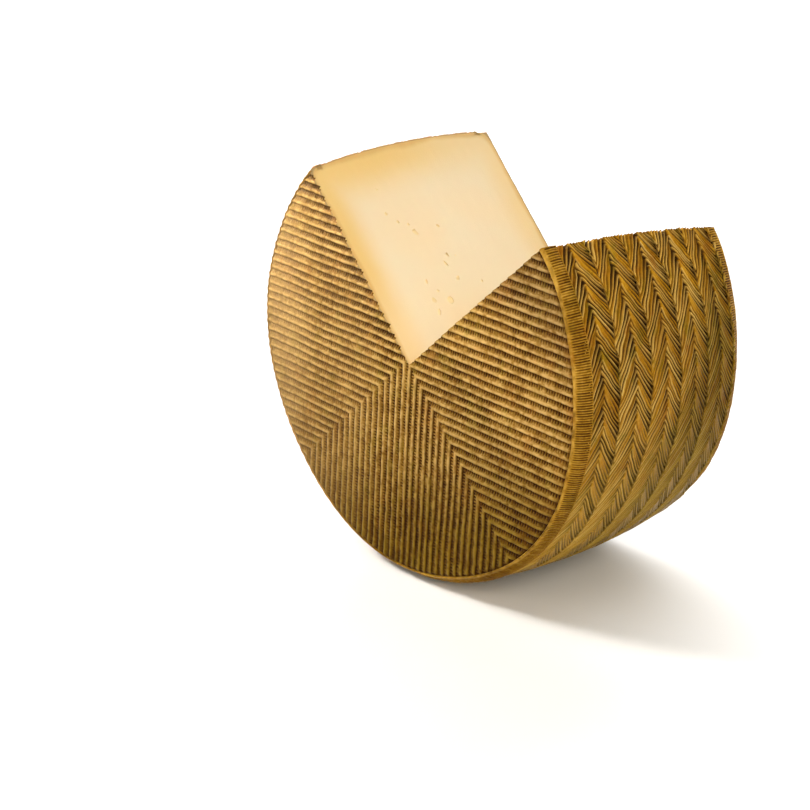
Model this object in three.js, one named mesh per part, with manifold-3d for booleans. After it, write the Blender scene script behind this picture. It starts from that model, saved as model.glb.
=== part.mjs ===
// Aged sheep cheese: a pressed wheel that stands on its rim, with a quarter cut out at the top.
// Millimetres. The wheel's axis runs along Y, the shown face looks along -Y, and +Z is up.
// The origin is on the surface that the wheel stands on, below the middle of its axis.
// Angles on the wheel run from the top (+Z) towards the right (+X), as seen from the front.

import * as THREE from "three";
import { mergeVertices } from "three/addons/utils/BufferGeometryUtils.js";
import Module from "manifold-3d";

// The wheel and its standing place
const wheelRadius = 100; // at the crown of the rim
const wheelThickness = 99; // from face to face
const crownDrop = 2.7; // how much lower the rim is beside the ribbed bands than at its crown
const standDepth = 1.2; // how deep the flat that it stands on cuts into the crown

// The shoulder: a smooth strip, then a ribbed band, between the face and the plaited rim
const faceRadius = 94; // mean radius of the flat face
const faceUnevenness = 0.8; // how far the edge of the face wanders in and out
const faceLobes = 5; // how often it does so in a turn
const faceLobeStart = THREE.MathUtils.degToRad(52);
const stripWidth = 1.4; // outwards from the face's edge
const stripDrop = 0.5; // back from the face
const bandWidth = 6.1; // along the axis

// The rim's plait: columns of slanting bundles, each diving under the next column
const columnWidth = 8.8;
const columnCount = 10;
const hiddenColumn = 2.2; // how much of the first column lies under the front band
const rowCount = 46; // bundles round the whole wheel, in one column
const bundleDepth = 1.3; // of a bundle's sunk end, near the top
const bundleFade = 0.45; // share of that depth which the weight of the wheel pressed flat below
const sunkEnd = 0.88; // where in its column a bundle is deepest

// Where a bundle begins and ends round the rim, in rows, at its raised front end and its sunk back end
const risingBundle = { raised: [1.17, 2.1], sunk: [0.42, 1.0] };
const fallingBundle = { raised: [0.02, 0.84], sunk: [0.97, 1.45] };

// The pressed face: ridges with channels between them, in corners nested on the two diagonals
const ridgePitch = 3.72;
const channelWidth = 2.4; // between two ridges, at the top
const channelFloor = 1.3;
const channelDepth = 0.8;
const channelMargin = 0.4; // from a channel's end to the edge of the face
const patternTurn = THREE.MathUtils.degToRad(4.2); // clockwise, as seen from the front
const patternCentre = { x: -0.5, z: 0.6 }; // from the axis

// The cut: two flat knife cuts that meet near the axis and run a little sideways to the back
const cutLeftAngle = THREE.MathUtils.degToRad(-40.9);
const cutRightAngle = THREE.MathUtils.degToRad(49.9);
const cutStart = { x: 0.2, z: -1.8 }; // on the front face, from the axis
const cutDrift = { x: 12.4, z: 0.9 }; // from the front face to the back face
const cutReach = 190; // past the rim and past both faces

const axisHeight = wheelRadius - standDepth;
const halfThickness = wheelThickness / 2;
const plaitHalf = halfThickness - stripDrop - bandWidth; // from the middle to a ribbed band
const samplesPerRow = 3; // a bundle's first edge, its sunk middle and its last edge
const ringPoints = rowCount * samplesPerRow;

const wasm = await Module();
wasm.setup();

// A closed geometry as a solid that can be joined and cut.
function solidFrom(geometry) {
  const bare = geometry.clone();
  bare.deleteAttribute("normal");
  bare.deleteAttribute("uv");
  const merged = mergeVertices(bare, 1e-4);
  return new wasm.Manifold(
    new wasm.Mesh({
      numProp: 3,
      vertProperties: new Float32Array(merged.attributes.position.array),
      triVerts: new Uint32Array(merged.index.array),
    }),
  );
}

// A solid as a geometry again.
function geometryFrom(solid) {
  const mesh = solid.getMesh();
  const geometry = new THREE.BufferGeometry();
  geometry.setAttribute("position", new THREE.BufferAttribute(mesh.vertProperties, mesh.numProp));
  geometry.setIndex(new THREE.BufferAttribute(mesh.triVerts, 1));
  geometry.computeVertexNormals();
  return geometry;
}

// Radius of the rim's crowned surface, without its plait.
function crownRadius(y) {
  return wheelRadius - crownDrop * (y / plaitHalf) ** 2;
}

// Radius of the face's edge.
function edgeRadius(angle) {
  return faceRadius + faceUnevenness * Math.cos(faceLobes * (angle - faceLobeStart));
}

// The row of a sample in the plait: a bundle's edges run along the mesh, from its raised end to its
// sunk end. Columns take turns to rise and to fall towards the back.
function plaitRow(index, column, across) {
  const { raised, sunk } = column % 2 === 0 ? risingBundle : fallingBundle;
  const [start, end] = raised.map((row, i) => THREE.MathUtils.lerp(row, sunk[i], across));
  const inBundle = (index % samplesPerRow) / (samplesPerRow - 1);
  return Math.floor(index / samplesPerRow) + THREE.MathUtils.lerp(start, end, inBundle);
}

// Depth of the plait at a sample: the middle of each bundle sinks towards the bundle's back end.
function plaitDepth(index, across, angle) {
  const isMiddle = index % samplesPerRow === 1;
  const pressed = bundleFade * (0.5 - 0.5 * Math.cos(angle));
  return isMiddle ? bundleDepth * (across / sunkEnd) * (1 - pressed) : 0;
}

// One ring of points at a place on the axis, with the sample's row and its radius as functions.
function ring(y, rowAt, radiusAt) {
  return Array.from({ length: ringPoints }, (_, index) => {
    const angle = (2 * Math.PI * rowAt(index)) / rowCount;
    const radius = radiusAt(angle, index);
    return [radius * Math.sin(angle), y, axisHeight + radius * Math.cos(angle)];
  });
}

// The row of a sample beside the plait, where the samples are evenly spread.
function shoulderRow(side) {
  const start = side < 0 ? plaitRow(0, 0, hiddenColumn / columnWidth) : fallingBundle.sunk[0];
  return (index) => start + index / samplesPerRow;
}

// The rings of the plaited rim, from the front to the back.
function plaitRings() {
  const rings = [];
  const firstColumn = -plaitHalf - hiddenColumn;
  for (let column = 0; column < columnCount; column += 1) {
    for (const across of [0, sunkEnd]) {
      const isHidden = column === 0 && across === 0;
      const place = isHidden ? hiddenColumn / columnWidth : across;
      const y = firstColumn + (column + place) * columnWidth;
      rings.push(
        ring(
          y,
          (index) => plaitRow(index, column, place),
          (angle, index) => crownRadius(y) - plaitDepth(index, across, angle),
        ),
      );
    }
  }
  return rings;
}

// The rings of one shoulder, from the face's edge to the plait. Side is -1 in front, 1 behind.
function shoulderRings(side) {
  const rowAt = shoulderRow(side);
  const stripY = side * (halfThickness - stripDrop);
  return [
    ring(side * halfThickness, rowAt, edgeRadius),
    ring(stripY, rowAt, (angle) => edgeRadius(angle) + stripWidth),
    ring(side * plaitHalf, rowAt, () => crownRadius(plaitHalf)),
  ];
}

// A closed body from rings of points in order along the axis, with a flat end at each side.
function loftGeometry(rings) {
  const middleOf = (points) => [0, points[0][1], axisHeight];
  const positions = [middleOf(rings[0]), ...rings.flat(), middleOf(rings.at(-1))];
  const last = positions.length - 1;
  const at = (r, index) => 1 + r * ringPoints + (index % ringPoints);
  const faces = [];
  for (let i = 0; i < ringPoints; i += 1) {
    faces.push(0, at(0, i + 1), at(0, i));
    faces.push(last, at(rings.length - 1, i), at(rings.length - 1, i + 1));
    for (let r = 0; r < rings.length - 1; r += 1) {
      faces.push(at(r, i), at(r + 1, i + 1), at(r + 1, i));
      faces.push(at(r, i), at(r, i + 1), at(r + 1, i + 1));
    }
  }
  const geometry = new THREE.BufferGeometry();
  geometry.setAttribute("position", new THREE.Float32BufferAttribute(positions.flat(), 3));
  geometry.setIndex(faces);
  return geometry;
}

// The whole wheel, with its plait and its shoulders but with plain faces.
function plainWheel() {
  const front = shoulderRings(-1).slice(0, 2);
  const back = shoulderRings(1).reverse();
  return solidFrom(loftGeometry([...front, ...plaitRings(), ...back]));
}

// The round patch of a face that its channels reach, a little inside the face's edge.
function patternPatch(side) {
  const rowAt = shoulderRow(side);
  const ends = [halfThickness - 2 * channelDepth, halfThickness + 2 * channelDepth];
  const order = side < 0 ? ends.reverse() : ends;
  const rings = order.map((end) =>
    ring(side * end, rowAt, (angle) => edgeRadius(angle) - channelMargin),
  );
  return solidFrom(loftGeometry(rings));
}

// A channel's section: how far each point is from the channel's middle line, and its depth.
function channelSection() {
  const slope = (channelWidth - channelFloor) / 2;
  return [
    [-channelWidth / 2 - slope, -channelDepth],
    [-channelFloor / 2, channelDepth],
    [channelFloor / 2, channelDepth],
    [channelWidth / 2 + slope, -channelDepth],
  ];
}

// A closed bar: its sections in order, each with the same number of points.
function barGeometry(sections) {
  const count = sections[0].length;
  const ends = [0, (sections.length - 1) * count];
  const faces = [];
  for (let i = 1; i < count - 1; i += 1) {
    faces.push(ends[0], ends[0] + i, ends[0] + i + 1);
    faces.push(ends[1], ends[1] + i + 1, ends[1] + i);
  }
  for (let s = 0; s < sections.length - 1; s += 1) {
    for (let i = 0; i < count; i += 1) {
      const here = s * count + i;
      const next = s * count + ((i + 1) % count);
      faces.push(here, here + count, next + count);
      faces.push(here, next + count, next);
    }
  }
  const geometry = new THREE.BufferGeometry();
  const positions = new THREE.Float32BufferAttribute(sections.flat(2), 3);
  geometry.setAttribute("position", positions);
  geometry.setIndex(faces);
  return geometry;
}

// The channel that turns its corner on a diagonal, in one quarter of a face.
function cornerChannel(middle, signX, signZ, side) {
  const reach = 1.2 * wheelRadius;
  const section = channelSection().map(([off, depth]) => [
    middle + off,
    side * (halfThickness - depth),
  ]);
  const sections = [
    section.map(([off, y]) => [signX * reach, y, signZ * off]),
    section.map(([off, y]) => [signX * off, y, signZ * off]),
    section.map(([off, y]) => [signX * off, y, signZ * reach]),
  ];
  if (signX * signZ * side > 0) sections.reverse();
  return barGeometry(sections);
}

// The straight channel through the middle of two opposite quarters.
function middleChannel(side) {
  const reach = 1.2 * wheelRadius;
  const section = channelSection().map(([off, depth]) => [off, side * (halfThickness - depth)]);
  const sections = [-side, side].map((end) => section.map(([off, y]) => [end * reach, y, off]));
  return barGeometry(sections);
}

// All the channels of one face, as one solid.
function faceChannels(side) {
  const channels = [middleChannel(side), middleChannel(side).rotateY(Math.PI / 2)];
  const signs = [-1, 1];
  for (let middle = ridgePitch; middle < faceRadius; middle += ridgePitch) {
    for (const signX of signs) {
      for (const signZ of signs) {
        channels.push(cornerChannel(middle, signX, signZ, side));
      }
    }
  }
  const placed = channels.map((channel) =>
    solidFrom(
      channel
        .rotateY(-side * patternTurn)
        .translate(patternCentre.x, 0, axisHeight + patternCentre.z),
    ),
  );
  return wasm.Manifold.union(placed).intersect(patternPatch(side));
}

// The wedge that was cut out: a triangle pushed along the axis and drifting sideways.
function wedge() {
  const outline = new THREE.Shape();
  outline.moveTo(0, 0);
  outline.lineTo(cutReach * Math.sin(cutRightAngle), cutReach * Math.cos(cutRightAngle));
  outline.lineTo(cutReach * Math.sin(cutLeftAngle), cutReach * Math.cos(cutLeftAngle));
  outline.closePath();
  const overrun = 10;
  const depth = wheelThickness + 2 * overrun;
  const geometry = new THREE.ExtrudeGeometry(outline, { depth, bevelEnabled: false });
  geometry.rotateX(Math.PI / 2).translate(0, depth - overrun - halfThickness, 0);
  const slantX = cutDrift.x / wheelThickness;
  const slantZ = cutDrift.z / wheelThickness;
  const shear = new THREE.Matrix4().set(
    1, slantX, 0, cutStart.x + slantX * halfThickness,
    0, 1, 0, 0,
    0, slantZ, 1, axisHeight + cutStart.z + slantZ * halfThickness,
    0, 0, 0, 1,
  );
  return solidFrom(geometry.applyMatrix4(shear));
}

// What lies below the surface that the wheel stands on.
function ground() {
  const depth = 4 * standDepth;
  const side = 2 * wheelRadius;
  return solidFrom(new THREE.BoxGeometry(side, side, depth).translate(0, 0, -depth / 2));
}

const pressedWheel = plainWheel().subtract(faceChannels(-1)).subtract(faceChannels(1));
const cheese = new THREE.Mesh(
  geometryFrom(pressedWheel.subtract(wedge()).subtract(ground())),
  new THREE.MeshStandardMaterial({ color: 0xc8994a, roughness: 0.68, metalness: 0 }),
);
cheese.name = "cheese";

const object = new THREE.Group();
object.add(cheese);

export default object;
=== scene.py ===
import itertools
import math

import bpy
import numpy as np
from mathutils import Matrix, Vector
from mathutils.geometry import tessellate_polygon


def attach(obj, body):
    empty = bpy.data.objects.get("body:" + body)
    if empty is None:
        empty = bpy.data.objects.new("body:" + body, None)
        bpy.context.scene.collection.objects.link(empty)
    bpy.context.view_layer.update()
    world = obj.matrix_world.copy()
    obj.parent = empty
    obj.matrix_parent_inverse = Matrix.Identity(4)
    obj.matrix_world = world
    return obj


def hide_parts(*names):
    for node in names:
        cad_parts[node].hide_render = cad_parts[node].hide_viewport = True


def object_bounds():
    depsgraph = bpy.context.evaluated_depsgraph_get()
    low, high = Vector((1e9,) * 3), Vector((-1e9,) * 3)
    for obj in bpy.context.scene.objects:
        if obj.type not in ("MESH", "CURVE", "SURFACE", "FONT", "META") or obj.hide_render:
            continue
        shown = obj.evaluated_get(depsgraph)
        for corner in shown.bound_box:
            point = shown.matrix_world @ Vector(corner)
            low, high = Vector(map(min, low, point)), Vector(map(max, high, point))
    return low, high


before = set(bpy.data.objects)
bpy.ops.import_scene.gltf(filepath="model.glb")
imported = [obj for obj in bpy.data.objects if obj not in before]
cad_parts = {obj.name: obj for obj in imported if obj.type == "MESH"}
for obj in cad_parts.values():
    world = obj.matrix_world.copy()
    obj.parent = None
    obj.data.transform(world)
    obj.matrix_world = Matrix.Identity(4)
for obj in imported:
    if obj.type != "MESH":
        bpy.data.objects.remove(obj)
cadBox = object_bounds()
millimetre = 0.001
print("frame loaded")

wheel = {
    "radius": 100.0,  # at the crown of the rim
    "thickness": (cadBox[1][1] - cadBox[0][1]) / millimetre,
    "standDepth": 1.2,  # how deep the flat that it stands on cuts into the crown
    "crownDrop": 2.7,  # how much lower the rim is beside its ribbed bands
    "bandWidth": 6.6,  # of the strip and the ribbed band together, along the axis
    "faceRadius": 94.0,
    "faceWander": 0.8,  # how far the edge of the face strays in and out
    "faceLobes": 5,
    "faceLobeStart": math.radians(52),
    "leftGrowth": 1.4,  # how much further the face reaches at its left edge
    "leftReach": (0.2, 0.9),  # from where to where it grows so, as shares of the way to the left
    "leftNotches": 0.26,  # how much further its ridges reach there than its channels, as a share
    "rindDepth": 2.6,  # thickness of the shells that carry the rind's relief
}
halfThickness = wheel["thickness"] / 2
axisHeight = wheel["radius"] - wheel["standDepth"]
plaitHalf = halfThickness - wheel["bandWidth"]
shellFloor = halfThickness - wheel["rindDepth"]

# What a mesh's polygons belong to, kept in its attribute cutSide
shownSide, leftCut, rightCut, eyeSide, hiddenSide = 0, 1, 2, 3, 9


def mix(first, second, share):
    return first + (second - first) * share


def smoothStep(low, high, value):
    share = np.clip((value - low) / (high - low), 0, 1)
    return share * share * (3 - 2 * share)


def bumps(turns):  # 0 at whole numbers, up to 1 halfway between them
    return 0.5 - 0.5 * np.cos(2 * math.pi * turns)


def hill(value, width, power=2):  # 1 at nothing, down to 0 beyond the width
    return np.exp(-((value / width) ** power))


def columns(*values):  # numbers and arrays side by side, such as x, y and z
    return np.stack(np.broadcast_arrays(*values), axis=-1)


def smoothNoise(points, size, seed):  # from -1 to 1, changing over about size
    cell = np.asarray(points, float) / size
    base = np.floor(cell).astype(np.int64)
    share = cell - base
    share = share * share * (3 - 2 * share)
    table = np.random.RandomState(seed).uniform(-1, 1, 4096)
    total = np.zeros(cell.shape[:-1])
    for corner in itertools.product((0, 1), repeat=3):
        place = base + corner
        key = place[..., 0] * 73856093 ^ place[..., 1] * 19349663 ^ place[..., 2] * 83492791
        weight = np.prod(np.where(corner, share, 1 - share), axis=-1)
        total += weight * table[key & 4095]
    return total


def layeredNoise(points, layers, seed=0):  # a sum of noises, each given as its amount, size and seed
    return sum(amount * smoothNoise(points, size, seed + own) for amount, size, own in layers)


def leftShare(angle):  # 1 at the left edge, down to 0 at the top and the bottom
    return smoothStep(*wheel["leftReach"], -np.sin(angle))


def edgeRadius(angle):  # of the face
    wander = np.cos(wheel["faceLobes"] * (angle - wheel["faceLobeStart"]))
    across = wheel["faceRadius"] * np.cos(angle - face["turn"]) - face["centre"][1]
    notches = 1 + wheel["leftNotches"] * bumps(across / face["pitch"])
    growth = wheel["leftGrowth"] * leftShare(angle) * notches
    return wheel["faceRadius"] + wheel["faceWander"] * wander + growth


def crownRadius(y):
    return wheel["radius"] - wheel["crownDrop"] * (y / plaitHalf) ** 2


def nearLeftCut(points, reach=6):  # 1 beside the left cut, down to 0 a few millimetres into the cheese
    start = cutPlace(cut["leftAngle"], 0, points[..., 1])
    off = points - start
    sine, cosine = math.sin(cut["leftAngle"]), math.cos(cut["leftAngle"])
    inside = off[..., 2] * sine - off[..., 0] * cosine
    along = off[..., 0] * sine + off[..., 2] * cosine
    return (1 - smoothStep(0.5, reach, inside)) * smoothStep(0, 12, along)


def onWheel(radius, y, angle):  # points in space from places on the wheel
    return columns(radius * np.sin(angle), y, radius * np.cos(angle))


# Making meshes

def addThing(name, data):
    thing = bpy.data.objects.new(name, data)
    bpy.context.collection.objects.link(thing)
    return thing


def plainLayers(points):
    nothing = np.zeros(len(points))
    return {"height": nothing, "groove": nothing, "crest": nothing, "weave": points}


def makeObject(name, points, triangles, layers, cornerUv, sides):  # sides may be one number for all
    mesh = bpy.data.meshes.new(name)
    place = np.asarray(points, float) * millimetre
    place[:, 2] += axisHeight * millimetre
    mesh.from_pydata(place, [], np.asarray(triangles))
    for key, values in layers.items():
        isVector = np.ndim(values) == 2
        layer = mesh.attributes.new(key, "FLOAT_VECTOR" if isVector else "FLOAT", "POINT")
        layer.data.foreach_set("vector" if isVector else "value", np.ravel(values))
    mesh.uv_layers.new(name="OFBake").data.foreach_set("uv", np.ravel(cornerUv))
    side = mesh.attributes.new("cutSide", "INT", "FACE")
    side.data.foreach_set("value", np.full(len(triangles), sides, np.int32))
    mesh.polygons.foreach_set("use_smooth", np.ones(len(mesh.polygons), bool))
    mesh.update()
    return addThing(name, mesh)


def cutAway(thing, cutter):
    modifier = thing.modifiers.new("cut", "BOOLEAN")
    modifier.operation = "DIFFERENCE"
    modifier.solver = "MANIFOLD"
    modifier.object = cutter
    graph = bpy.context.evaluated_depsgraph_get()
    seen = thing.evaluated_get(graph)
    mesh = bpy.data.meshes.new_from_object(seen, preserve_all_data_layers=True, depsgraph=graph)
    thing.modifiers.clear()
    thing.data = mesh


def readNumbers(items, key):
    numbers = np.zeros(len(items), np.int32)
    items.foreach_get(key, numbers)
    return numbers


def polygonSides(mesh):
    return readNumbers(mesh.attributes["cutSide"].data, "value")


def sharpenBorders(thing):  # a crease wherever one side of a piece meets another
    mesh = thing.data
    cornerEdges = readNumbers(mesh.loops, "edge_index")
    ofCorner = np.repeat(polygonSides(mesh), readNumbers(mesh.polygons, "loop_total"))
    low = np.full(len(mesh.edges), 99, np.int32)
    high = np.full(len(mesh.edges), -1, np.int32)
    np.minimum.at(low, cornerEdges, ofCorner)
    np.maximum.at(high, cornerEdges, ofCorner)
    mesh.edges.foreach_set("use_edge_sharp", low != high)
    mesh.polygons.foreach_set("use_smooth", np.ones(len(mesh.polygons), bool))
    mesh.update()


def spread(values, low, high, reach=None):  # values stretched onto a stretch of the surface map
    start, end = reach or (np.min(values), np.max(values))
    return low + (values - start) / (end - start) * (high - low)


def mapped(across, up, box):  # corners laid out on one part of the surface map
    return columns(spread(across, *box[:2]), spread(up, *box[2:]))


def splitQuads(quads):
    return np.concatenate([quads[:, [0, 1, 2]], quads[:, [0, 2, 3]]])


def boundaryEdges(triangles):  # with a triangle on one side only, in that triangle's order
    edges = np.concatenate([triangles[:, [0, 1]], triangles[:, [1, 2]], triangles[:, [2, 0]]])
    _, first, counts = np.unique(np.sort(edges, axis=1), axis=0, return_index=True, return_counts=True)
    return edges[first[counts == 1]]


# Where things lie on each piece's surface map, as low and high u, then low and high v
shownMap = (0.01, 0.99, 0.01, 0.80)
hiddenMap = (0.01, 0.49, 0.83, 0.99)
cutMap = (0.51, 0.99, 0.83, 0.99)


# The pressed face: ridges and stitched channels, in corners nested on two diagonals

face = {
    "pitch": 3.72,  # from ridge to ridge
    "turn": math.radians(4.2),  # clockwise, as seen from outside
    "centre": (-0.5, 0.6),
    # Across a channel: places in pitches from its middle, and the height of the face there
    "stops": (-0.36, -0.29, -0.17, 0.0, 0.2, 0.29, 0.35, 0.5),
    "heights": (-0.04, -0.14, -0.2, -0.28, -0.5, -0.48, -0.08, 0.05),
    "wear": ((0.2, 9, 0), (0.12, 30, 1)),  # how unevenly deep the channels are
    "stitchPitch": 1.34,
    "stitchPlace": 0.03,  # from the channel's middle to its deep side, in pitches
    "stitchReach": 0.22,
    "stitchDepth": 0.6,
    "stitchStart": 2.4,  # how differently the stitches of two channels start
    "stitchDrift": (0.5, 16, 2),
    "stitchStrength": 0.85,
    "stitchWear": ((0.4, 7, 3), (0.55, 1.9, 6)),
    "smoothEdge": (-92, -50),  # where stitches fade out towards the left edge of the front
    "smoothStitches": 0.3,  # what is left of them there
    "samplesPerStitch": {-1: 4, 1: 3},  # at the front and at the back
    "creasePlace": 0.25,  # of the painted shadow line along a channel, under the ridge on its deep side, in pitches from its middle
    "creaseWidth": 0.07,
    "creaseShadow": (0.6, 0.9),  # how dark that painted shadow line is, at the left edge of the front and elsewhere
    "ridgeReach": (0.3, 0.42),  # where a ridge begins and is full, in pitches from a channel's middle
    "grain": (0.13, 1.3, 4),
    "lumps": (0.13, 5, 5),
    "wander": ((0.35, 26, 0), (0.105, 7, 10)),  # how far ridges stray sideways
    "freeFrom": 4,  # how far inside the edge they stray freely
    "edgeDrop": 0.85,  # how much lower the face is where it meets the smooth strip
    "edgeRound": 1.3,
    "backByCut": -0.85,  # how much more relief there is beside the left cut, at the back
    "frontByCut": 0.8,
    "frontCutReach": 16,
}


def rowPlaces(isMirrored):  # places of the rows of points out from a sector's middle
    stops = np.array([0.0, *face["stops"]])
    if isMirrored:
        stops = -stops
    reach = int(wheel["radius"] / face["pitch"]) + 2
    places = (np.arange(-1, reach)[:, None] + stops[None, :]).ravel() * face["pitch"]
    return np.unique(np.round(places[places >= 0], 6))


def isMirroredHalf(sector, sign):  # the deep side of a channel lies towards the top or the middle
    isRightOrLeft = sector % 2 == 0
    isLower = sign < 0 if sector == 0 else sign > 0
    return isLower if isRightOrLeft else sector == 3


def fromSector(along, across, sector, side):
    angle = sector * math.pi / 2 + side * face["turn"]
    x = along * math.cos(angle) - across * math.sin(angle) + face["centre"][0]
    z = along * math.sin(angle) + across * math.cos(angle) + face["centre"][1]
    return x, z


def rowEnd(across, sector, side):  # where a row meets the edge of the face
    along = math.sqrt(max(wheel["faceRadius"] ** 2 - across**2, 0))
    for _ in range(8):
        x, z = fromSector(along, across, sector, side)
        along += edgeRadius(math.atan2(x, z)) - math.hypot(x, z)
    return along


def cornerEnd(sign, sector, side):  # where a sector's diagonal meets the edge of the face
    low, high = 0.0, wheel["radius"]
    for _ in range(40):
        middle = (low + high) / 2
        x, z = fromSector(middle, sign * middle, sector, side)
        isInside = math.hypot(x, z) < edgeRadius(math.atan2(x, z))
        low, high = (middle, high) if isInside else (low, middle)
    return low


def zipRows(first, second):  # triangles between two rows, each a list of (index, place along it)
    triangles = []
    i = j = 0
    while i < len(first) - 1 or j < len(second) - 1:
        isSecondDone = j == len(second) - 1
        isFirstDone = i == len(first) - 1
        if isSecondDone or (not isFirstDone and first[i + 1][1] <= second[j + 1][1]):
            triangles.append((first[i][0], first[i + 1][0], second[j][0]))
            i += 1
        else:
            triangles.append((first[i][0], second[j + 1][0], second[j][0]))
            j += 1
    return triangles


def sectorGrid(sector, side, spacing):  # places along and across a sector, and triangles between them
    along, across, depthPlace, triangles = [], [], [], []
    for sign in (-1, 1):
        isMirrored = isMirroredHalf(sector, sign)
        corner = cornerEnd(sign, sector, side)
        places = rowPlaces(isMirrored)
        previous = None
        for place in [*places[places < corner - 0.05], corner]:
            end = rowEnd(sign * place, sector, side) if place < corner else place
            first = math.floor(place / spacing + 0.35) + 1
            last = math.ceil(end / spacing - 0.35)
            stops = [place, *(spacing * index for index in range(first, last))]
            if end > place:
                stops.append(end)
            row = [(len(along) + index, stop) for index, stop in enumerate(stops)]
            along += stops
            across += [sign * place] * len(stops)
            offset = place / face["pitch"] - round(place / face["pitch"])
            depthPlace += [-offset if isMirrored else offset] * len(stops)
            if previous:
                made = zipRows(previous, row)
                triangles += made if sign > 0 else [triangle[::-1] for triangle in made]
            previous = row
    return np.array(along), np.array(across), np.array(depthPlace), np.array(triangles)


def pressedHeight(along, across, depthPlace, sector, points, side):
    seed = 40 + 5 * side
    stops = np.array([-0.5, *face["stops"]])
    profile = np.interp(depthPlace, stops, [face["heights"][-1], *face["heights"]])
    channel = np.round(across / face["pitch"])
    worn = 1 + layeredNoise(points, face["wear"], seed)
    phase = face["stitchStart"] * np.sin(channel * 12.9898 + sector * 4.1)
    phase = phase + layeredNoise(points, [face["stitchDrift"]], seed)
    wave = bumps(along / face["stitchPitch"] + phase)
    inStitch = hill(depthPlace - face["stitchPlace"], face["stitchReach"], 4) * wave**2
    fromLeft = smoothStep(*face["smoothEdge"], points[:, 0])
    strength = face["stitchStrength"] + layeredNoise(points, face["stitchWear"], seed)
    strength = np.clip(strength, 0.1, 1.4) * mix(face["smoothStitches"], 1, fromLeft)
    uneven = layeredNoise(points, [face["grain"], face["lumps"]], seed)
    height = profile * worn - face["stitchDepth"] * strength * inStitch + uneven
    grain = smoothNoise(points, face["grain"][1], seed + face["grain"][2])
    # Painted shadow line along each channel, under the ridge on its deep side
    inCrease = hill(depthPlace - face["creasePlace"], face["creaseWidth"])
    inCrease = inCrease * np.clip(0.75 + grain, 0, 1) * mix(*face["creaseShadow"], fromLeft)
    # Pale ridge tops: partly dust, partly painted highlight
    onRidge = smoothStep(*face["ridgeReach"], np.abs(depthPlace)) * np.clip(0.7 + grain, 0, 1)
    return height, np.maximum(inStitch * strength, inCrease), onRidge


def pressedFace(name, side, half):
    spacing = face["stitchPitch"] / face["samplesPerStitch"][side]
    parts = []
    triangles = []
    count = 0
    for sector in range(4):
        along, across, depthPlace, made = sectorGrid(sector, side, spacing)
        x, z = fromSector(along, across, sector, side)
        points = columns(x, side * halfThickness, z)
        height, groove, crest = pressedHeight(along, across, depthPlace, sector, points, side)
        weave = columns(across, along * 0.25, 50.0 * sector)
        parts.append((points, height, groove, crest, weave))
        triangles.append(made + count)
        count += len(along)
    parts = [np.concatenate(part) for part in zip(*parts)]
    triangles = np.concatenate(triangles)
    places = np.round(parts[0][:, [0, 2]], 3)
    _, first, same = np.unique(places, axis=0, return_index=True, return_inverse=True)
    parts = [part[first] for part in parts]
    triangles = same.reshape(-1)[triangles]
    isWhole = np.all(triangles != np.roll(triangles, 1, axis=1), axis=1)
    triangles = triangles[isWhole]
    lean = side * face["turn"]
    off = parts[0][:, [0, 2]] - face["centre"]
    beside = off[:, 0] * math.cos(lean) + off[:, 1] * math.sin(lean)
    triangles = triangles[beside[triangles].mean(axis=1) * half > 0]
    used, packed = np.unique(triangles, return_inverse=True)
    triangles = packed.reshape(triangles.shape)
    parts = [part[used] for part in parts]
    points, height, groove, crest, weave = parts
    radius = np.hypot(points[:, 0], points[:, 2])
    inside = edgeRadius(np.arctan2(points[:, 0], points[:, 2])) - radius
    rounded = np.sqrt(np.clip(inside / face["edgeRound"], 0, 1))
    height = mix(-face["edgeDrop"], height, rounded)
    free = smoothStep(0, face["freeFrom"], inside)
    for axis, seed in ((0, 61), (2, 63)):
        points[:, axis] += layeredNoise(points, face["wander"], seed + side) * free
    if side > 0:
        height = height * (1 + face["backByCut"] * nearLeftCut(points))
    else:
        height = height * (1 + face["frontByCut"] * nearLeftCut(points, face["frontCutReach"]))
    points[:, 1] = side * (halfThickness + height)
    if side < 0:
        triangles = triangles[:, ::-1]
    layers = {"height": height, "groove": groove, "crest": crest, "weave": weave}
    return closedPatch(name, points, triangles, side * shellFloor, layers)


def closedPatch(name, points, triangles, floor, layers):  # a patch with walls down to a flat floor
    edges = boundaryEdges(triangles)
    border = np.unique(edges)
    count = len(points)
    below = points[border].copy()
    below[:, 1] = floor
    middle = below.mean(axis=0, keepdims=True)
    toFloor = np.full(count, -1)
    toFloor[border] = count + np.arange(len(border))
    start, end = edges[:, 0], edges[:, 1]
    walls = np.concatenate([
        columns(end, start, toFloor[start]),
        columns(end, toFloor[start], toFloor[end]),
        columns(toFloor[end], toFloor[start], count + len(border)),
    ])
    whole = np.concatenate([points, below, middle])
    for key, values in layers.items():
        extra = np.zeros((len(whole) - count, *values.shape[1:]))
        layers[key] = np.concatenate([values, extra])
    uv = []
    for made, box in ((triangles, shownMap), (walls, hiddenMap)):
        corners = made.ravel()
        uv.append(mapped(whole[corners, 0], whole[corners, 2], box))
    sides = np.repeat([shownSide, hiddenSide], [len(triangles), len(walls)])
    return makeObject(name, whole, np.concatenate([triangles, walls]), layers, np.concatenate(uv), sides)


# Shells made of rings of points: the shoulders beside the faces, and the plaited rim between them

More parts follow.
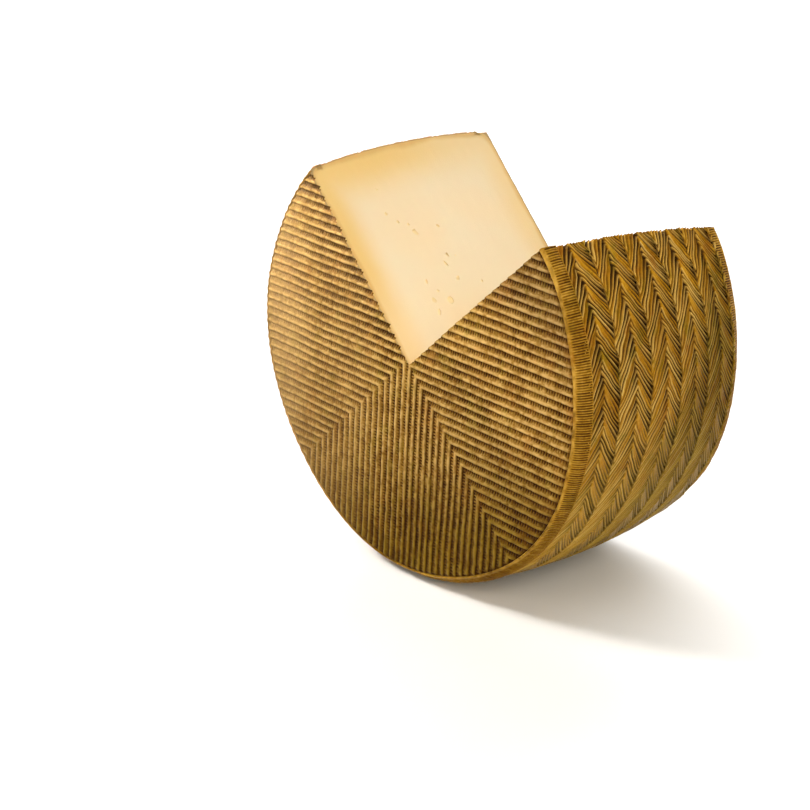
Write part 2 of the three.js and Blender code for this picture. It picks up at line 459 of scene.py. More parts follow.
def ringedShell(name, rings, hiddenRings, isClosed, segments=1):
    shown = len(rings)
    points = np.stack([ring["points"] for ring in rings] + list(hiddenRings))
    layers = {}
    for key in ("height", "groove", "crest", "weave"):
        blank = np.zeros_like(rings[0][key])
        layers[key] = np.concatenate([ring[key] for ring in rings] + [blank] * len(hiddenRings))
    ringCount, samples = points.shape[:2]
    steps = samples if isClosed else samples - 1
    ringAt, sampleAt = np.meshgrid(np.arange(ringCount), np.arange(steps), indexing="ij")
    isShown = ringAt < shown - 1
    perSegment = math.ceil(steps / segments)
    segment = sampleAt // perSegment
    corners, cornerUv = [], []
    for ringStep, sampleStep in ((0, 0), (0, 1), (1, 1), (1, 0)):
        corners.append((ringAt + ringStep) % ringCount * samples + (sampleAt + sampleStep) % samples)
        across = (sampleAt + sampleStep - segment * perSegment) / perSegment
        down = (segment + 0.96 * (ringAt + ringStep) / (shown - 1)) / segments
        around = (sampleAt + sampleStep) / steps
        behind = (ringAt + ringStep - shown + 1) / (ringCount - shown + 1)
        u = np.where(isShown, mix(*shownMap[:2], across), mix(*hiddenMap[:2], around))
        v = np.where(isShown, mix(*shownMap[2:], down), mix(*hiddenMap[2:], behind))
        cornerUv.append(columns(u, v))
    quads = np.stack(corners, axis=-1).reshape(-1, 4)
    quadUv = np.stack(cornerUv, axis=-2).reshape(-1, 4, 2)
    triangles, uv = splitQuads(quads), splitQuads(quadUv)
    sides = np.where(np.tile(isShown.ravel(), 2), shownSide, hiddenSide)
    flat = points.reshape(-1, 3)
    if not isClosed:
        for index, turn in ((0, 1), (samples - 1, -1)):
            loop = np.arange(ringCount) * samples + index
            cap = loop[capTriangles(flat[loop], turn)]
            capUv = mapped(np.hypot(flat[cap, 0], flat[cap, 2]), flat[cap, 1], cutMap)
            uv = np.concatenate([uv, capUv])
            triangles = np.concatenate([triangles, cap])
            sides = np.concatenate([sides, np.full(len(cap), hiddenSide + (turn > 0))])
    flat[:, 2] = np.maximum(flat[:, 2], -axisHeight)
    return makeObject(name, flat, triangles, layers, uv, sides)


def capTriangles(outline, turn):  # the flat end of a shell, seen along the rim
    flat = [Vector((math.hypot(x, z), y, 0)) for x, y, z in outline]
    made = []
    for triangle in tessellate_polygon([flat]):
        a, b, c = (flat[index] for index in triangle)
        area = (b.x - a.x) * (c.y - a.y) - (b.y - a.y) * (c.x - a.x)
        made.append(triangle if area * turn > 0 else triangle[::-1])
    return np.array(made)


plait = {
    "rows": 46,  # bundles round the whole wheel, in one column
    "columns": 10,
    "columnWidth": 8.8,
    "hidden": 2.2,  # how much of the first column lies under the front band
    # Where a bundle starts and ends round the rim, in rows, at its raised front end and its sunk back end
    "falling": {"front": (0.06, 0.84), "back": (0.95, 1.6), "bend": 1.2},
    "rising": {"front": (1.2, 2.2), "back": (0.1, 1.1), "bend": 1.0},
    "tongue": {"falling": 1.4, "rising": 2.0},  # how far the raised ends reach over the column in front
    "tongueWidth": {"falling": 0.18, "rising": 0.3},  # in rows
    "tonguePlace": {"falling": 0.36, "rising": 0.74},
    # Depth of each groove between the stems of a bundle, at the raised and the sunk end
    "grooves": {
        "falling": ((1.1, 1.5), (1.3, 1.8), (1.3, 1.9), (1.2, 1.7)),
        "rising": ((0.8, 0.35), (0.9, 1.0), (1.0, 1.9), (0.95, 1.5)),
    },
    "fullShade": 1.3,  # depth from which a groove's dark colour, partly dirt and partly painted shade, is as dark as it gets
    "grooveStart": 0.05,  # between two stems, as a share of the way down
    "grooveFull": (1, 0.55),  # at the raised and the sunk end
    "endShadow": {"falling": 0.5, "rising": 0.38},  # painted shade where a bundle dives under the next column
    "endShadowReach": (0.6, 0.95),
    "cushionSamples": {"falling": 11, "rising": 0},  # across the smoother stretch between two bundles
    "cushionGrooves": 2,
    "cushionDepth": 0.65,
    "rowSamples": 35,
    "stops": (0, 0.05, 0.13, 0.25, 0.38, 0.52, 0.66, 0.79, 0.89, 0.965),
    "sink": 0.35,
    "crown": 0.22,
    "lip": 0.3,
    "cushion": 0.25,
    "backKnobs": 1.1,  # how far the last bundles stand out at the back edge
    "knobReach": (37, 43),
    "knobPlace": 0.72,  # in rows
    "knobWidth": 0.2,
    "unevenStems": 0.04,  # how far the stems of a bundle stray, as a share of its width
    "stray": 0.055,  # how far bundles wander, in rows
    # Drawn between these for each raised end, each bundle, each groove and each stem
    "tongueSizes": (0.6, 1.15),
    "strengths": (0.65, 1.2),
    "grooveSizes": (0.55, 1.25),
    # how strong each stem's painted highlight is
    "glintStrengths": (0.2, 1.5),
    # Shares of the relief that are gone at the bottom
    "pressedStems": {"falling": 0.62, "rising": 0.35},
    "pressedBundles": 0.96,
    "pressedShade": 0.62,  # how dark the grooves' colour, partly dirt and partly painted shade, still is where nothing is left of their relief
    "lowLean": 1.2,  # how far the bundles lean at the bottom, as a share of the lean at the top
    "lowCushions": 1.6,  # how much deeper the cushions' grooves are at the bottom
    "freshTop": 0.35,  # how much deeper the relief is near the top
    "freshReach": (0.1, 0.55),  # as heights above the axis, in radii
    "topGrooves": 0.62,  # grooves are wider near the top: the way down to a full one, as a share
    "topHighlight": 0.7,  # how strong the stems' painted highlight is near the top
    "uneven": ((0.09, 6, 71), (0.16, 21, 72)),
    "pressedByCut": 0.85,  # the share of the relief that is gone beside the left cut
    "rowLength": 13.6,  # of the fibres' pattern
}


def columnKind(column):
    return "falling" if column % 2 else "rising"


def bundleTable(column, seed, low, high, strokes=1):  # a number for each bundle of a column
    source = np.random.RandomState(seed + 31 * column)
    return source.uniform(low, high, (plait["rows"], strokes))


def nearestRow(rows, place):  # its number, and how far away the place in it is
    number = np.floor(rows - place + 0.5)
    return number.astype(int) % plait["rows"], rows - place - number


def boundaryShift(boundary, rows):  # how far back the line between two columns is, along the axis
    kind = columnKind(boundary)
    row, off = nearestRow(rows, plait["tonguePlace"][kind])
    size = bundleTable(boundary, 300, *plait["tongueSizes"])[row, 0]
    return -plait["tongue"][kind] * size * hill(off, plait["tongueWidth"][kind])


def plaitRing(row, inRow, column, across):
    kind = columnKind(column)
    shape = plait[kind]
    bent = shape["bend"] * across - (shape["bend"] - 1) * across**2
    bent = 0.5 + (bent - 0.5) * mix(1, plait["lowLean"], bumps((row + 1) / plait["rows"]))
    start, end = (mix(first, last, bent) for first, last in zip(shape["front"], shape["back"]))
    bundle = row % plait["rows"]
    cushionSamples = plait["cushionSamples"][kind]
    strokeSamples = plait["rowSamples"] - cushionSamples
    isStroke = inRow < strokeSamples
    inZone = inRow / strokeSamples
    inCushion = (inRow - strokeSamples) / max(cushionSamples, 1)
    stray = bundleTable(column, 400, -plait["stray"], plait["stray"])[:, 0]
    share = np.where(isStroke, 0 if cushionSamples else inZone, inCushion)
    rows = row + np.where(isStroke, mix(start, end, inZone), mix(end, start + 1, inCushion))
    rows = rows + mix(stray[bundle], stray[(bundle + 1) % plait["rows"]], share)
    angle = 2 * math.pi * rows / plait["rows"]
    lowness = bumps(rows / plait["rows"])  # 0 at the top, up to 1 at the bottom
    topShare = smoothStep(*plait["freshReach"], np.cos(angle))
    fresh = 1 + plait["freshTop"] * topShare
    pressed = (1 - plait["pressedStems"][kind] * lowness) * fresh
    bundlesLeft = (1 - plait["pressedBundles"] * lowness) * fresh
    shift = mix(boundaryShift(column, rows), boundaryShift(column + 1, rows), across)
    y = -plaitHalf - plait["hidden"] + (column + across) * plait["columnWidth"]
    y = y + shift * smoothStep(0.0, 0.7, bundlesLeft)
    strength = bundleTable(column, 500, *plait["strengths"])[bundle, 0]
    depths = np.array(plait["grooves"][kind])
    count = len(depths)
    groove = np.clip(np.floor(inZone * count).astype(int), 0, count - 1)
    size = bundleTable(column, 600, *plait["grooveSizes"], count)[bundle, groove]
    glintStrengths = bundleTable(column, 800, *plait["glintStrengths"], count)[bundle, groove]
    uneven = bundleTable(column, 700, -plait["unevenStems"], plait["unevenStems"], 2)[bundle]
    turn = 2 * math.pi * inZone
    warped = inZone + uneven[:, 0] * np.sin(turn) + uneven[:, 1] * np.sin(2 * turn)
    full = mix(*plait["grooveFull"], across) * mix(1, plait["topGrooves"], topShare)
    between = np.where(isStroke, smoothStep(plait["grooveStart"], full, bumps(warped * count)), 0)
    depth = mix(depths[groove, 0], depths[groove, 1], smoothStep(0.15, 0.75, across)) * size * strength
    hump = np.sqrt(np.clip(np.sin(math.pi * np.clip(inZone, 0, 1)), 0, 1))
    sunk = plait["sink"] * smoothStep(0.35, 1.0, across) * hump * strength
    crown = plait["crown"] * (1 - across) * hump
    lip = plait["lip"] * (1 - smoothStep(0, 0.4, across))
    faint = bumps(inCushion * plait["cushionGrooves"]) * plait["cushionDepth"]
    faint = faint * mix(1, plait["lowCushions"], lowness) * smoothStep(0.1, 0.9, across) * size
    cushion = plait["cushion"] * (0.4 + 0.6 * across) * np.sin(math.pi * np.clip(inCushion, 0, 1))
    knob = hill(nearestRow(rows, plait["knobPlace"])[1], plait["knobWidth"])
    knob = knob * smoothStep(*plait["knobReach"], y)
    body = lip + np.where(isStroke, crown - sunk, cushion) + plait["backKnobs"] * knob
    height = body * bundlesLeft - np.where(isStroke, between * depth, faint) * pressed
    # Groove colour by depth: partly dirt, partly painted shade
    shade = np.where(isStroke, between * np.clip(depth / plait["fullShade"], 0, 1), faint)
    shade = shade * mix(plait["pressedShade"], 1, np.clip(pressed, 0, 1))
    # Painted shade at the sunk end, where a bundle dives under the next column
    ends = plait["endShadow"][kind] * smoothStep(*plait["endShadowReach"], across) * hump * strength
    shade = mix(shade, 1, np.where(isStroke, np.clip(ends, 0, 1), 0))
    # Painted highlight along the stems' tops
    crest = np.where(isStroke, 1 - between, 0) * smoothStep(0.3, 0.8, depth) * mix(1, 0.7, across)
    crest = crest * mix(1, plait["topHighlight"], topShare) * glintStrengths
    if kind == "falling":
        crest = crest * smoothStep(0.1, 1.0, pressed)
    alongRim = (row + inRow / plait["rowSamples"]) * plait["rowLength"]
    weave = columns(alongRim, y * 0.2 + column * 20, 0)
    return {"angle": angle, "y": y, "height": height, "groove": shade, "crest": crest, "weave": weave}


def plaitedRim(name, firstRow, lastRow):
    sample = np.arange((lastRow - firstRow) * plait["rowSamples"] + 1)
    row = firstRow + sample // plait["rowSamples"]
    inRow = (sample % plait["rowSamples"]).astype(float)
    rings = []
    for column in range(plait["columns"] + 1):
        for across in plait["stops"]:
            ring = plaitRing(row, inRow, column, across)
            if -plaitHalf - 1 < ring["y"].mean() < plaitHalf + 1.2:
                rings.append(ring)
    for ring in rings:
        surface = crownRadius(ring["y"]) - 0.2
        place = onWheel(surface, ring["y"], ring["angle"])
        ring["height"] += layeredNoise(place, plait["uneven"])
        ring["height"] *= 1 - plait["pressedByCut"] * nearLeftCut(place)
        ring["points"] = onWheel(surface + ring["height"], ring["y"], ring["angle"])
    hidden = []
    for y in np.linspace(shellFloor - 1, 1 - shellFloor, 9):
        floor = crownRadius(min(abs(y), plaitHalf)) - wheel["rindDepth"]
        hidden.append(onWheel(floor, y, rings[-1]["angle"]))
    return ringedShell(name, rings, hidden, isClosed=False)


shoulder = {
    "ribsPerRow": 13,
    "samplesPerRib": 4,
    "ribHeight": 0.46,
    "ribSizes": (0.6, 1.2),  # drawn between these for each rib
    "uneven": ((0.10, 5, 75), (0.16, 17, 76), (0.12, 1.3, 77)),
    "stains": (1.8, 78),
    "stripStains": 0.5,
    "stripPaleness": 0.1,
    "stripUnevenness": 1.2,
    "stripWidth": 0.8,
    "narrowLeft": 0.75,  # how much narrower the strip is at the left, as a share
    "wideStrip": 1.9,  # how much wider the strip is beside the right cut
    "wideStripAngle": math.radians(43),
    "wideStripReach": math.radians(20),
    "stripProfile": ((0, 0.85), (0.12, 0.4), (0.35, 0.06), (0.62, 0.04), (0.85, 0.26), (1, 0.62)),
    "bandStops": (0.05, 0.14, 0.28, 0.44, 0.6, 0.76, 0.88, 0.96, 1.0),
    "bandBulge": {-1: 0.5, 1: 0.15},  # at the front and at the back
    "bandLip": {-1: 0.35, 1: -0.7},  # how far the band stands over the plait
}


def stripWidth(angle, side):
    turned = angle - shoulder["wideStripAngle"]
    turned = np.arctan2(np.sin(turned), np.cos(turned))
    wider = hill(turned, shoulder["wideStripReach"]) if side < 0 else 0
    narrower = 1 - shoulder["narrowLeft"] * leftShare(angle)
    return shoulder["stripWidth"] * narrower + shoulder["wideStrip"] * wider


def bandedShoulder(name, side):
    count = plait["rows"] * shoulder["ribsPerRow"] * shoulder["samplesPerRib"]
    sample = np.arange(count)
    angle = 2 * math.pi * sample / count
    inner = edgeRadius(angle)
    strip = inner + stripWidth(angle, side)
    outer = np.full(count, crownRadius(plaitHalf) + shoulder["bandLip"][side])
    rib = bumps(sample / shoulder["samplesPerRib"])
    ribCount = count // shoulder["samplesPerRib"]
    ribSize = np.random.RandomState(701 + side).uniform(*shoulder["ribSizes"], ribCount)
    rib = rib * np.repeat(ribSize, shoulder["samplesPerRib"])
    rings = []

    def addRing(radius, y, ribDepth, wear, noise, crest=0, stains=0):
        place = onWheel(radius, y, angle)
        lumps = noise * layeredNoise(place, shoulder["uneven"])
        groove = ribDepth * rib / shoulder["ribHeight"]
        rings.append({
            "points": onWheel(radius - ribDepth * rib + lumps, y - side * 0.3 * lumps, angle),
            "height": lumps - ribDepth * rib - wear,
            "groove": groove + stains * np.clip(0.4 + smoothNoise(place, *shoulder["stains"]), 0, 1),
            "crest": np.full(count, crest, float),
            "weave": columns(angle * 97, abs(y), 7.0),
        })

    # Painted light: the strip paler towards the left, in the crest colour, like the face's lit left edge
    # beside it
    pale = np.maximum(leftShare(angle), shoulder["stripPaleness"])
    stains = shoulder["stripStains"] * (1 - leftShare(angle))
    for share, back in shoulder["stripProfile"]:
        noise = shoulder["stripUnevenness"] if share else 0
        addRing(mix(inner, strip, share), side * (halfThickness - back), 0, 0, noise, pale, stains)
    for stop in shoulder["bandStops"]:
        y = side * mix(halfThickness - back, plaitHalf - 0.25, stop)
        bulge = shoulder["bandBulge"][side] * math.sin(math.pi * stop)
        fade = smoothStep(0.0, 0.12, stop) * (1 - smoothStep(0.94, 1, stop))
        depth = shoulder["ribHeight"] * fade * mix(0.75, 1.1, stop)
        addRing(mix(strip, outer, stop**0.8) + bulge, y, depth, 0, 1)
    addRing(outer - 1.2, side * (plaitHalf - 0.45), 0, 0.5, 0)
    floor = crownRadius(plaitHalf) - wheel["rindDepth"]
    hidden = [
        onWheel(floor, side * (plaitHalf - 0.4), angle),
        onWheel(floor, side * shellFloor, angle),
        onWheel(inner, side * shellFloor, angle),
    ]
    if side > 0:
        lastShown = rings.pop(0)
        rings = [*rings[::-1], lastShown]
        hidden = hidden[::-1]
    return ringedShell(name, rings, hidden, isClosed=True, segments=6)


# The cut: a closed wedge with slightly uneven sides, which is taken out of every piece

cut = {
    "leftAngle": math.radians(-40.9),
    "rightAngle": math.radians(49.9),
    "start": (0.2, -1.8),  # of the line where both cuts meet, on the front face
    "drift": (12.4, 0.9),  # from the front face to the back face
    "grid": 0.9,
    "shownReach": 106.0,
    "reach": 170.0,
    "uneven": ((0.32, 34, 0), (0.10, 9, 10)),
    "drag": (0.05, 2.2, 20),  # fine lines along the knife's way
    "unevenFrom": 8,  # along the cut
    "unevenTo": (104, 112),
}


def cutPlace(angle, along, y):
    share = (y + halfThickness) / wheel["thickness"]
    x = cut["start"][0] + cut["drift"][0] * share + along * math.sin(angle)
    z = cut["start"][1] + cut["drift"][1] * share + along * math.cos(angle)
    return columns(x, y, z)


def gridTriangles(index):
    corners = [index[:-1, :-1], index[1:, :-1], index[1:, 1:], index[:-1, 1:]]
    return splitQuads(np.stack(corners, axis=-1).reshape(-1, 4))


def wedgeCutter(box):
    lowU, highU, lowV, highV = box
    middleU = (lowU + highU) / 2
    ys = np.arange(-halfThickness - 6, halfThickness + 6.01, cut["grid"])
    alongs = [*np.arange(0, cut["shownReach"], cut["grid"]), 112, 125, 145, cut["reach"]]
    along, y = np.meshgrid(alongs, ys, indexing="ij")
    grids = []
    for angle, turn, seed in ((cut["leftAngle"], 1, 81), (cut["rightAngle"], -1, 82)):
        place = cutPlace(angle, along, y)
        outward = np.array([math.cos(angle), 0, -math.sin(angle)]) * turn
        push = layeredNoise(place, cut["uneven"], seed)
        push += layeredNoise(place * (0.25, 1, 0.25), [cut["drag"]], seed)
        push *= smoothStep(0, cut["unevenFrom"], along) * (1 - smoothStep(*cut["unevenTo"], along))
        grids.append(place + outward * push[..., None])
    left, right = grids
    right[0] = left[0]
    leftIndex = np.arange(along.size).reshape(along.shape)
    rightIndex = leftIndex + along.size
    rightIndex[0] = leftIndex[0]
    lid = gridTriangles(np.stack([leftIndex[-1], rightIndex[-1]]))
    parts = [gridTriangles(leftIndex), gridTriangles(rightIndex)[:, ::-1], lid]
    for column, isBack in ((0, False), (-1, True)):
        first, second = leftIndex[:, column], rightIndex[:, column]
        ladder = [(first[0], second[1], first[1])]
        for i in range(1, len(first) - 1):
            ladder += [(first[i], second[i], second[i + 1]), (first[i], second[i + 1], first[i + 1])]
        parts.append(np.array(ladder)[:, ::-1] if isBack else np.array(ladder))
    lengths = [len(part) for part in parts]
    sides = np.repeat([leftCut, rightCut, leftCut], [lengths[0], lengths[1], sum(lengths[2:])])
    points = np.concatenate([left.reshape(-1, 3), right.reshape(-1, 3)])
    triangles = np.concatenate(parts)
    corner = triangles.ravel()
    acrossCut = spread(points[corner, 1], 0, 1, (ys[0], ys[-1]))
    isRight = np.repeat(sides == rightCut, 3)
    u = np.where(isRight, mix(middleU + 0.004, highU, acrossCut), mix(lowU, middleU - 0.004, acrossCut))
    alongOf = np.tile(along.ravel(), 2)[corner]
    v = spread(np.minimum(alongOf, 112), lowV, highV, (0, 112))
    return makeObject("wedgeCutter", points, triangles, plainLayers(points), columns(u, v), sides)


# The paste inside the rind, with the few small eyes that the cuts open

eyes = {
    "left": (  # on the left cut: along it from the middle, from front to back, length, width
        (59.9, -14.1, 3.2, 1.9), (70.7, -23.6, 1.6, 1.2), (66.0, -19.9, 1.5, 1.1), (60.9, -1.4, 1.5, 1.1),
        (26.7, -22.0, 2.6, 1.8), (20.7, -22.4, 3.2, 1.2), (25.2, -14.2, 3.0, 2.2), (34.7, -4.9, 2.2, 1.2),
        (46.4, -4.4, 2.4, 1.0), (42.5, -7.2, 2.6, 0.9), (31.2, 6.1, 1.3, 1.0), (35.7, -21.0, 2.0, 0.9),
        (30.5, -17.8, 1.4, 0.9), (64.0, -15.5, 1.5, 1.0), (45.5, -0.4, 1.3, 0.8), (83.0, -22.0, 1.0, 0.8),
    ),
    # On the right cut, drawn between these
    "rightCount": 15,
    "rightAlong": (14, 84),
    "rightBack": (-36, 36),
    "rightLength": (0.8, 2.4),
    "rightWidth": (0.6, 1.3),
    "apart": 5,
    "depth": 0.42,
    "lean": 0.8,
    "lumps": 0.35,
}


def pasteCore():
    samples = 440
    angle = np.arange(samples) / samples * 2 * math.pi
    rings = [onWheel(edgeRadius(angle), shellFloor, angle)]
    for y in np.linspace(shellFloor - 1, 1 - shellFloor, 9):
        rings.append(onWheel(crownRadius(min(abs(y), plaitHalf)) - wheel["rindDepth"], y, angle))
    rings.append(onWheel(edgeRadius(angle), -shellFloor, angle))
    points = np.concatenate([*rings, [[0, shellFloor, 0], [0, -shellFloor, 0]]])
    index = np.arange(len(rings) * samples).reshape(len(rings), samples)
    following = np.roll(index, -1, axis=1)
    quads = np.stack([index[:-1], following[:-1], following[1:], index[1:]], axis=-1).reshape(-1, 4)
    back, front = len(points) - 2, len(points) - 1
    triangles = np.concatenate([
        splitQuads(quads),
        columns(back, following[0], index[0]),
        columns(front, index[-1], following[-1]),
    ])
    corner = triangles.ravel()
    uv = mapped(points[corner, 0] + points[corner, 1], points[corner, 2], hiddenMap)
    return makeObject("paste", points, triangles, plainLayers(points), uv, hiddenSide)


def unevenBall(around, down, seed):  # points and triangles of a ball with lumps
    points = [(0, 0, 1)]
    for polar in np.linspace(0, math.pi, down)[1:-1]:
        for turn in np.arange(around) / around * 2 * math.pi:
            radius = math.sin(polar)
            points.append((radius * math.cos(turn), radius * math.sin(turn), math.cos(polar)))
    points = np.array([*points, (0, 0, -1)])
    last = len(points) - 1
    triangles = []
    for first in range(around):
        second = (first + 1) % around
        triangles.append((0, 1 + first, 1 + second))
        for ring in range(1, 1 + (down - 3) * around, around):
            below = ring + around
            triangles.append((ring + first, below + first, below + second))
            triangles.append((ring + first, below + second, ring + second))
        lowest = 1 + (down - 3) * around
        triangles.append((last, lowest + second, lowest + first))
    lumps = 1 + eyes["lumps"] * smoothNoise(points, 0.8, seed)
    return points * lumps[:, None], np.array(triangles)


def eyeCutter():  # small uneven hollows, as one mesh of balls that don't touch
    source = np.random.RandomState(17)
    places = [(cut["leftAngle"], *eye) for eye in eyes["left"]]
    taken = []
    while len(taken) < eyes["rightCount"]:
        along, y = source.uniform(*eyes["rightAlong"]), source.uniform(*eyes["rightBack"])
        if all(math.hypot(along - other[0], y - other[1]) > eyes["apart"] for other in taken):
            taken.append((along, y))
            length, width = source.uniform(*eyes["rightLength"]), source.uniform(*eyes["rightWidth"])
            places.append((cut["rightAngle"], along, y, length, width))
    points, triangles = [], []
    for number, (angle, along, y, length, width) in enumerate(places):
        centre = cutPlace(angle, along, y)
        lean = source.uniform(-eyes["lean"], eyes["lean"])
        upward = np.array([math.sin(angle), 0, math.cos(angle)])
        backward = np.array([0, 1, 0])
        long = upward * math.cos(lean) + backward * math.sin(lean)
        wide = backward * math.cos(lean) - upward * math.sin(lean)
        size = (length * 0.58, width * 0.75, eyes["depth"] * min(1, width))
        ball, ballTriangles = unevenBall(14, 9, 200 + number)
        triangles.append(ballTriangles + number * len(ball))
        points.append(centre + (ball * size) @ np.array([long, wide, np.cross(long, wide)]))
    points, triangles = np.concatenate(points), np.concatenate(triangles)
    corner = triangles.ravel()
    uv = mapped(points[corner, 1], points[corner, 2], cutMap)
    # The eyes are marked with a crest of 1, which the paste's finish paints paler: partly their own
    # colour, partly painted light in the hollows
    layers = {**plainLayers(points), "crest": np.ones(len(points))}
    return makeObject("eyeCutter", points, triangles, layers, uv, eyeSide)


print("building the rind")
faces = [
    pressedFace("rindFrontLeft", -1, -1),
    pressedFace("rindFrontRight", -1, 1),
    pressedFace("rindBackLeft", 1, -1),
    pressedFace("rindBackRight", 1, 1),
]
shoulders = [bandedShoulder("rindShoulderFront", -1), bandedShoulder("rindShoulderBack", 1)]
rims = [plaitedRim("rindRimRight", 4, 22), plaitedRim("rindRimLeft", 22, 42)]
cutter = wedgeCutter(cutMap)
for piece in faces + shoulders + rims:
    cutAway(piece, cutter)
    sharpenBorders(piece)
    print(piece.name, len(piece.data.polygons), "faces")
bpy.data.objects.remove(cutter)

print("building the paste")
paste = pasteCore()
for cutter in (wedgeCutter(shownMap), eyeCutter()):
    cutAway(paste, cutter)
    bpy.data.objects.remove(cutter)
sharpenBorders(paste)
print("paste", len(paste.data.polygons), "faces")


# Materials

class Wire:  # a node's output, on which sums can be written
    def __init__(self, nodes, socket):
        self.nodes = nodes
        self.socket = socket

    def both(self, operation, first, second):
        return self.nodes.add("ShaderNodeMath", {"operation": operation}, {0: first, 1: second})

    def __add__(self, other):
        return self.both("ADD", self, other)

    def __radd__(self, other):
        return self.both("ADD", other, self)

    def __sub__(self, other):
        return self.both("SUBTRACT", self, other)

    def __rsub__(self, other):
        return self.both("SUBTRACT", other, self)

    def __mul__(self, other):
        return self.both("MULTIPLY", self, other)

    def __rmul__(self, other):
        return self.both("MULTIPLY", other, self)

    def __truediv__(self, other):
        return self.both("DIVIDE", self, other)

    def __rtruediv__(self, other):
        return self.both("DIVIDE", other, self)

    def output(self, index):  # another output of the same node
        return Wire(self.nodes, self.socket.node.outputs[index])


class Nodes:
    def __init__(self, name):
        self.material = bpy.data.materials.new(name)
        self.material.use_nodes = True
        self.tree = self.material.node_tree
        self.shader = self.tree.nodes["Principled BSDF"]

    def put(self, socket, value):
        if isinstance(value, Wire):
            self.tree.links.new(value.socket, socket)
        elif isinstance(value, tuple) and len(value) == 3 and len(socket.default_value) == 4:
            socket.default_value = (*value, 1)
        else:
            socket.default_value = value

    def add(self, kind, settings=None, sockets=None):
        node = self.tree.nodes.new(kind)
        for key, value in (settings or {}).items():
            if key == "stops":
                elements = node.color_ramp.elements
                while len(elements) < len(value):
                    elements.new(0.5)
                for element, (position, shade) in zip(elements, value):
                    element.position = position
                    element.color = (*shade, 1)
            else:
                setattr(node, key, value)
        for key, value in (sockets or {}).items():
            self.put(node.inputs[key], value)
        return Wire(self, node.outputs[0])

    def mix(self, share, first, second):
        sockets = {"Factor": share, 6: first, 7: second}
        return self.add("ShaderNodeMix", {"data_type": "RGBA"}, sockets).output(2)

    def attribute(self, name, index):
        return self.add("ShaderNodeAttribute", {"attribute_name": name}).output(index)

    def vector(self, operation, first, second):
        return self.add("ShaderNodeVectorMath", {"operation": operation}, {0: first, 1: second})

    def noise(self, where, scale, detail=3.0, roughness=0.5):
        return self.add("ShaderNodeTexNoise", None,
                        {"Vector": where, "Scale": scale, "Detail": detail, "Roughness": roughness})

    def step(self, value, low, high):
        return self.add("ShaderNodeMapRange", {"interpolation_type": "SMOOTHSTEP"},
                        {"Value": value, "From Min": low, "From Max": high})

    def bump(self, height, distance, strength=1.0):
        sockets = {"Strength": strength, "Distance": distance, "Height": height}
        return self.add("ShaderNodeBump", None, sockets)

    def finish(self, sockets):
        for key, value in sockets.items():
            self.put(self.shader.inputs[key], value)
        return self.material


def screen(red, green, blue):  # a colour as on screen, from 0 to 255, in linear light
    def linear(value):
        value = value / 255
        return value / 12.92 if value <= 0.04045 else ((value + 0.055) / 1.055) ** 2.4
    return (linear(red), linear(green), linear(blue))


